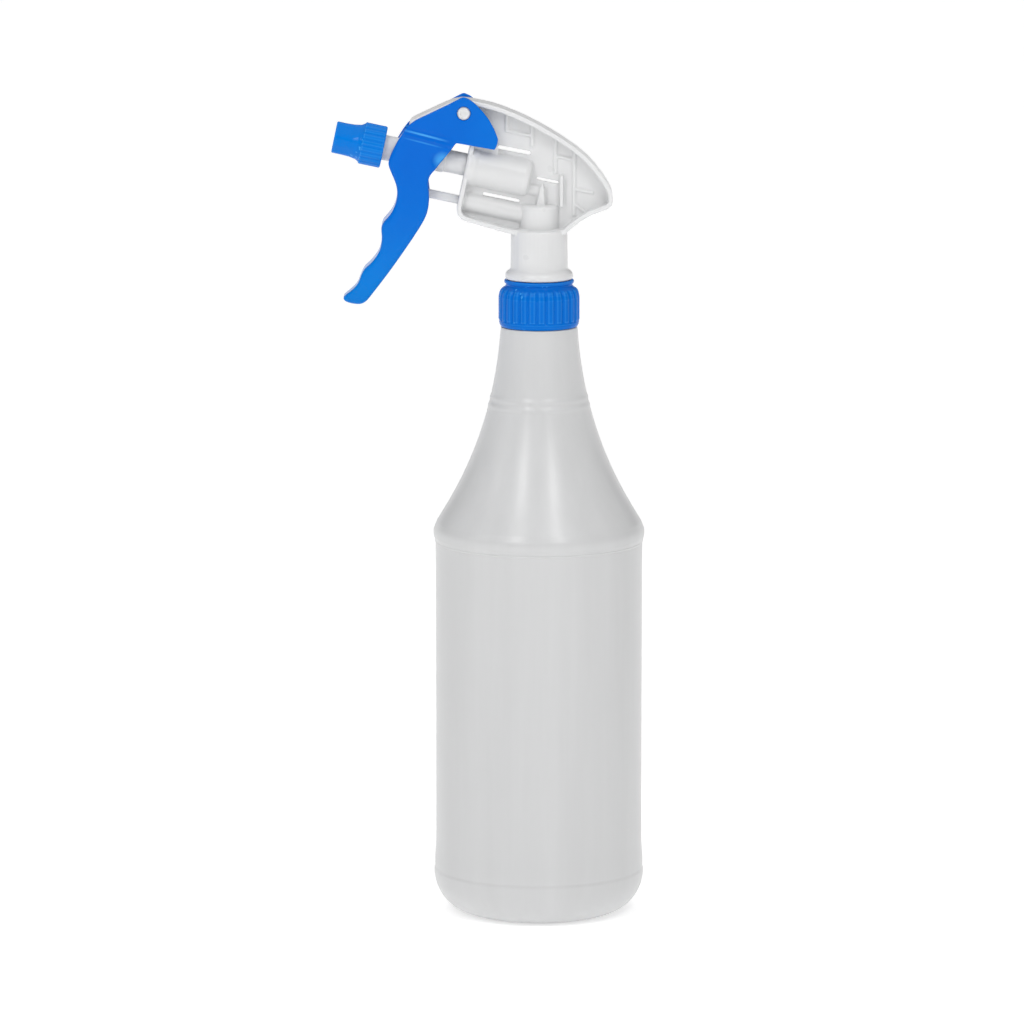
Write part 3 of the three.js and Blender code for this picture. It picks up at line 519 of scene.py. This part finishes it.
def bottle_radius(r, z, angle):
    """Neck thread and the two faint mould lines up the sides."""
    outer_neck = (r > 12.0) & (z > 248) & (z < 260)
    swell = thread_swell(z, angle, THREAD_START, THREAD_TURNS, 1.0)
    seam = np.exp(-((np.mod(angle, math.pi) - 0) * r / 0.28) ** 2)
    seam += np.exp(-((np.mod(angle, math.pi) - math.pi) * r / 0.28) ** 2)
    outer_skin = (z > 3) & (z < 244.8) & (r > inner_limit(z))
    return r + np.where(outer_neck, 1.05 * swell, 0) + np.where(outer_skin, 0.05 * seam, 0)


def inner_limit(z):
    """A radius between the inner and the outer skin at that height."""
    shoulder = bezier(*SHOULDER_CURVE, 60)
    wall = np.interp(z, shoulder[:, 1], shoulder[:, 0])
    heel = 27.0 + 15.6 * np.sin(np.arccos(np.clip(1 - (z - 0.6) / 17, -1, 1)))
    return np.where(z > 163.2, wall - 0.7, np.where(z < 18, heel, 42.3))


def build_bottle():
    piece = polar_piece("bottle_skin", bottle_profile(), 288, radius=bottle_radius)
    stand_for(piece, "bottle", "bottle", MILKY)


# ---------------------------------------------------------------- the collar


def groove(angle, lobes, width):
    """1 on a lobe's top and 0 at the bottom of the narrow groove between two."""
    share = np.mod(angle * lobes / FULL_TURN, 1.0)
    return 1 - np.exp(-((np.minimum(share, 1 - share)) / width) ** 2)


def collar_radius(r, z, angle):
    """Rounded ribs outside, screw thread inside."""
    ribbed = (r > 14.2) & (z > 248)
    rise = smoothstep(z, 248.4, 249.4) * (1 - smoothstep(z, 261.2, 262.8))
    ribs = np.where(ribbed, 0.66 * rise * groove(angle, COLLAR_RIBS, 0.2), 0)
    inside = (r < 14.2) & (z < 258)
    start = THREAD_START - THREAD_LEAD / 2
    ridge = np.where(inside, -0.95 * thread_swell(z, angle, start, THREAD_TURNS, 0.9), 0)
    return r + ribs + ridge


def build_collar():
    outside = rounded([(14.0, 246.15), (15.8, 246.15, 0.4), (16.32, 247.0, 1.2), (16.6, 248.2, 0.8),
                       (16.12, 249.2, 0.8), (16.12, 258.4, 3), (15.72, 260.4, 3), (15.0, 261.9, 2),
                       (14.05, 262.9, 0.5), (13.75, 263.4, 0.3), (13.85, 263.9, 0.3), (14.38, 264.3, 0.3),
                       (14.45, 265.2, 0.45), (13.9, 265.6, 0.3), (10.98, 265.6)])
    inside = rounded([(10.98, 265.6), (10.98, 263.3, 0.2), (12.98, 263.3, 0.2), (12.98, 259.5, 0.3),
                      (13.95, 258.3, 0.3), (13.95, 246.15, 0.3), (14.0, 246.15)])
    line = refined(np.vstack([outside, inside[1:-1]]), 0.45)
    piece = polar_piece("collar_cap", line, COLLAR_RIBS * 16, radius=collar_radius)
    stand_for(piece, "collar", "collar", CAP_BLUE)


# ---------------------------------------------------------------- the nozzle


def rounded_square_radius(angle, half, corner):
    """Distance from the centre to a square's outline with rounded corners."""
    folded = np.abs(np.mod(angle + math.pi / 4, math.pi / 2) - math.pi / 4)
    flat = half - corner
    straight = half / np.cos(folded)
    lean = np.cos(folded) - np.sin(folded)
    inside = np.clip(corner**2 - (flat * lean) ** 2, 0, None)
    arc = flat * (np.cos(folded) + np.sin(folded)) + np.sqrt(inside)
    return np.where(half * np.tan(folded) <= flat, straight, arc)


def nozzle_radius(r, z, angle):
    """Ribbed round skirt that flares down to a rounded square head, standing on a corner."""
    outside = (r > 6.0) & (z < 49.95)
    square = rounded_square_radius(angle + math.pi / 4, 5.9, 4.09) / 6.65
    head = smoothstep(z, 38.6, 43.5)
    rise = smoothstep(z, 29.2, 29.6) * (1 - smoothstep(z, 38.0, 38.6))
    ribs = 0.32 * rise * (groove(angle, NOZZLE_RIBS, 0.2) - 1)
    shaped = r * (1 + head * (square - 1)) + ribs
    face = 1 + head * (square - 1)
    return np.where(outside, shaped, np.where((r > 3.6) & (z > 49), r * face, r))


def build_nozzle():
    outside = rounded([(5.5, 29.15), (8.3, 29.15, 0.35), (8.68, 29.7, 0.4), (8.68, 38.1, 0.5),
                       (8.1, 38.5, 0.4), (7.25, 39.8, 1.6), (6.75, 42.6, 6.0), (6.6, 46.0, 6.0),
                       (6.62, 49.7, 0.45), (6.2, 50.0, 0.2), (3.7, 50.0, 0.25), (3.3, 49.35, 0.25),
                       (0.9, 49.3, 0.2), (0.45, 49.0, 0.2), (0.45, 47.6)])
    inside = rounded([(0.45, 47.6), (4.1, 47.2, 0.3), (4.1, 44.45, 0.2), (4.85, 44.4, 0.2),
                      (4.85, 40.3, 0.2), (5.5, 39.8, 0.2), (5.5, 29.15)])
    line = refined(np.vstack([outside, inside[1:-1]]), 0.5)
    piece = polar_piece("nozzle_cap", line, NOZZLE_RIBS * 12, radius=nozzle_radius, place=on_barrel)
    stand_for(piece, "nozzle", "nozzle", NOZZLE_BLUE)


# ---------------------------------------------------------------- frame, trigger and inner pieces


def trigger_weight(points):
    """How strongly the trigger's edges round off: the grip more than the ears and the crease."""
    return 0.06 + 0.94 * smoothstep(below_crease(points / MM - PIVOT), 3.0, 10.0)


def below_crease(places):
    """How far points, in mm from the pivot, lie under the crease across the trigger's sides."""
    return (CREASE_Z - CREASE_SLOPE * places[:, 0] - places[:, 2]) / math.hypot(1, CREASE_SLOPE)


def press_sides(mesh):
    """The trigger's fine side marks: two raised lines at the crease and the shallow round dish."""
    points = np.zeros(len(mesh.vertices) * 3)
    mesh.vertices.foreach_get("co", points)
    points = points.reshape(-1, 3)
    places = points / MM - PIVOT
    depth = below_crease(places)
    along = smoothstep(places[:, 0], -27, -24) * (1 - smoothstep(places[:, 0], -5.5, -4.5))
    ear = along * (np.abs(places[:, 1]) > 8.7)
    lines = 0.32 * np.exp(-((depth - UPPER_LINE) / 0.42) ** 2)
    lines += 0.2 * np.exp(-((depth - LOWER_LINE) / 0.38) ** 2)
    lines -= 0.22 * np.exp(-((depth + 1.3) / 0.8) ** 2) + 0.25 * np.exp(-((depth - 1.3) / 0.9) ** 2)
    reach = np.hypot(places[:, 0] + 9.7, places[:, 2] + 19.3)
    side = np.abs(places[:, 1]) > 8.9
    dish = -0.75 * side * (1 - smoothstep(reach, 1.4, 3.9))
    moved = np.clip(np.abs(places[:, 1]) + ear * lines + dish, 0, 10.18)
    points[:, 1] = np.sign(points[:, 1]) * np.where(side | (ear > 0), moved, np.abs(places[:, 1])) * MM
    mesh.vertices.foreach_set("co", points.ravel())
    mesh.update()


def build_head():
    white = moulded("frame_moulding", "spray_frame", 0.27, 4)
    stand_for(white, "spray_frame", "sprayer_head", WHITE)
    lever = moulded("trigger_moulding", "trigger", 0.27, 90, weight=trigger_weight)
    press_sides(lever.data)
    stand_for(lever, "trigger", "trigger", LEVER_BLUE)


def pin_profile():
    half = 9.2
    end = rounded([(0.01, half - 0.3), (1.0, half - 0.3, 0.5), (1.6, half, 0.4), (2.1, half, 0.5),
                   (2.65, half - 0.6, 0.4), (2.65, 0)])
    return np.vstack([end, (end * [1, -1])[-2::-1]])


def build_pin():
    def place(points):
        return PIVOT + points[:, :1] * [1, 0, 0] + points[:, 1:2] * [0, 0, 1] + points[:, 2:3] * [0, 1, 0]

    piece = polar_piece("pin", refined(pin_profile(), 1.0), 64, closed=False, place=place)
    stand_for(piece, "pivot_pin", "sprayer_head", WHITE)


def build_springs():
    """Both springs, each with a mesh of its own, on the body that carries it."""
    return_spring = coil_piece("return_coil", 4.9, 0.9, -30.1, -13.6, 6, on_barrel)
    stand_for(return_spring, "return_spring", "sprayer_head", STEEL)
    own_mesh(return_spring)
    outlet_spring = coil_piece("outlet_coil", 1.95, 0.45, -3.2, 9.3, 6, on_barrel)
    stand_for(outlet_spring, "outlet_spring", "plunger", STEEL)
    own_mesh(outlet_spring)


def dress_cad_nodes():
    """CAD nodes that stay as they are get their material."""
    dressing = {
        "neck_gasket": LINER, "tube_retainer": NATURAL, "inlet_ball": STEEL, "dip_tube": TUBE,
        "strainer": NATURAL, "barrel_bush": WHITE, "plunger": WHITE, "piston_seal": RUBBER,
        "outlet_ball": STEEL, "spinner": NATURAL,
        "nozzle_seal": RUBBER, "vent_rod": WHITE, "vent_seal": RUBBER,
    }
    for node, material in dressing.items():
        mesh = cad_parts[node].data
        mesh.materials.clear()
        mesh.materials.append(material)
        mesh.shade_smooth()
        mesh.set_sharp_from_angle(angle=math.radians(35))


# ---------------------------------------------------------------- floor, light and camera


def build_floor():
    """A large pale floor with a faint mottling, as bright as the backdrop behind it."""
    mesh = bpy.data.meshes.new("floor")
    half = 6.0
    corners = [(-half, -half, 0), (half, -half, 0), (half, half, 0), (-half, half, 0)]
    mesh.from_pydata(corners, [], [(0, 1, 2, 3)])
    floor = link("floor", mesh)
    material, shader = new_material("pale_floor")
    wiring = Wiring(material)
    cloud = wiring.noise(wiring.place(), 3.0, 3.0)
    wiring.join(wiring.colour(cloud, (0.86, 0.86, 0.86), (0.9, 0.9, 0.9)), shader.inputs["Base Color"])
    shader.inputs["Roughness"].default_value = 0.9
    shader.inputs["Specular IOR Level"].default_value = 0.1
    shader.inputs["Emission Color"].default_value = (1, 1, 1, 1)
    shader.inputs["Emission Strength"].default_value = FLOOR_GLOW
    mesh.materials.append(material)


def softbox(name, azimuth, elevation, distance, size, power, aim=(0, 0, 0.22)):
    """A soft rectangular light. Azimuth runs from the camera's side, positive to the right."""
    a, e = math.radians(azimuth), math.radians(elevation)
    towards = Vector((math.sin(a) * math.cos(e), -math.cos(a) * math.cos(e), math.sin(e)))
    place = Vector(aim) + distance * towards
    data = bpy.data.lights.new(name, "AREA")
    data.shape = "RECTANGLE"
    data.size, data.size_y = size
    data.energy = power
    lamp = bpy.data.objects.new(name, data)
    bpy.context.scene.collection.objects.link(lamp)
    lamp.location = place
    lamp.rotation_euler = (Vector(aim) - place).to_track_quat("-Z", "Y").to_euler()


def build_light():
    """White backdrop, a dark band over it, a bright sky, two soft boxes and three narrow strips."""
    world = bpy.data.worlds.new("surroundings")
    bpy.context.scene.world = world
    world.use_nodes = True
    wiring = Wiring(world)
    background = world.node_tree.nodes["Background"]
    background.inputs[0].default_value = (1, 1, 1, 1)
    direction = wiring.add("ShaderNodeTexCoord").outputs["Generated"]
    parts = wiring.add("ShaderNodeSeparateXYZ")
    wiring.join(direction, parts.inputs[0])
    overhead = wiring.ramp(parts.outputs[2], SKY_START, 1, 0, SKY_GLOW)
    backdrop = wiring.ramp(parts.outputs[2], BACKDROP_TOP, BACKDROP_TOP + 0.03, 1, 0)
    wiring.join(wiring.maths("ADD", overhead, backdrop), background.inputs[1])
    softbox("left", -28, 36, 1.3, (0.16, 0.6), LEFT_POWER)
    softbox("right", 24, 40, 1.3, (0.16, 0.6), RIGHT_POWER)
    softbox("left_core", -28, 36, 1.25, (0.02, 0.25), SPARK_POWER)
    softbox("right_core", 24, 40, 1.25, (0.02, 0.25), SPARK_POWER)
    softbox("left_edge", -72, 30, 1.3, (0.012, 0.16), SPARK_POWER)


def build_camera():
    """The main view: square to the sprayer's side, a little from above, through a long lens."""
    aim = Vector((-0.0112, 0, 0.1681))
    rise = math.radians(9.4)
    distance = 3.0
    data = bpy.data.cameras.new("camera")
    data.sensor_width = 36.0
    data.lens = 254.15
    data.clip_end = 50
    camera = bpy.data.objects.new("camera", data)
    bpy.context.scene.collection.objects.link(camera)
    camera.location = aim + distance * Vector((0, -math.cos(rise), math.sin(rise)))
    camera.rotation_euler = (aim - camera.location).to_track_quat("-Z", "Y").to_euler()
    bpy.context.scene.camera = camera


def keep_colours_plain():
    bpy.context.scene.view_settings.view_transform = "Standard"


paint_light_on_blues()
build_bottle()
build_collar()
build_nozzle()
build_head()
build_pin()
build_springs()
dress_cad_nodes()
build_floor()
build_light()
build_camera()
keep_colours_plain()
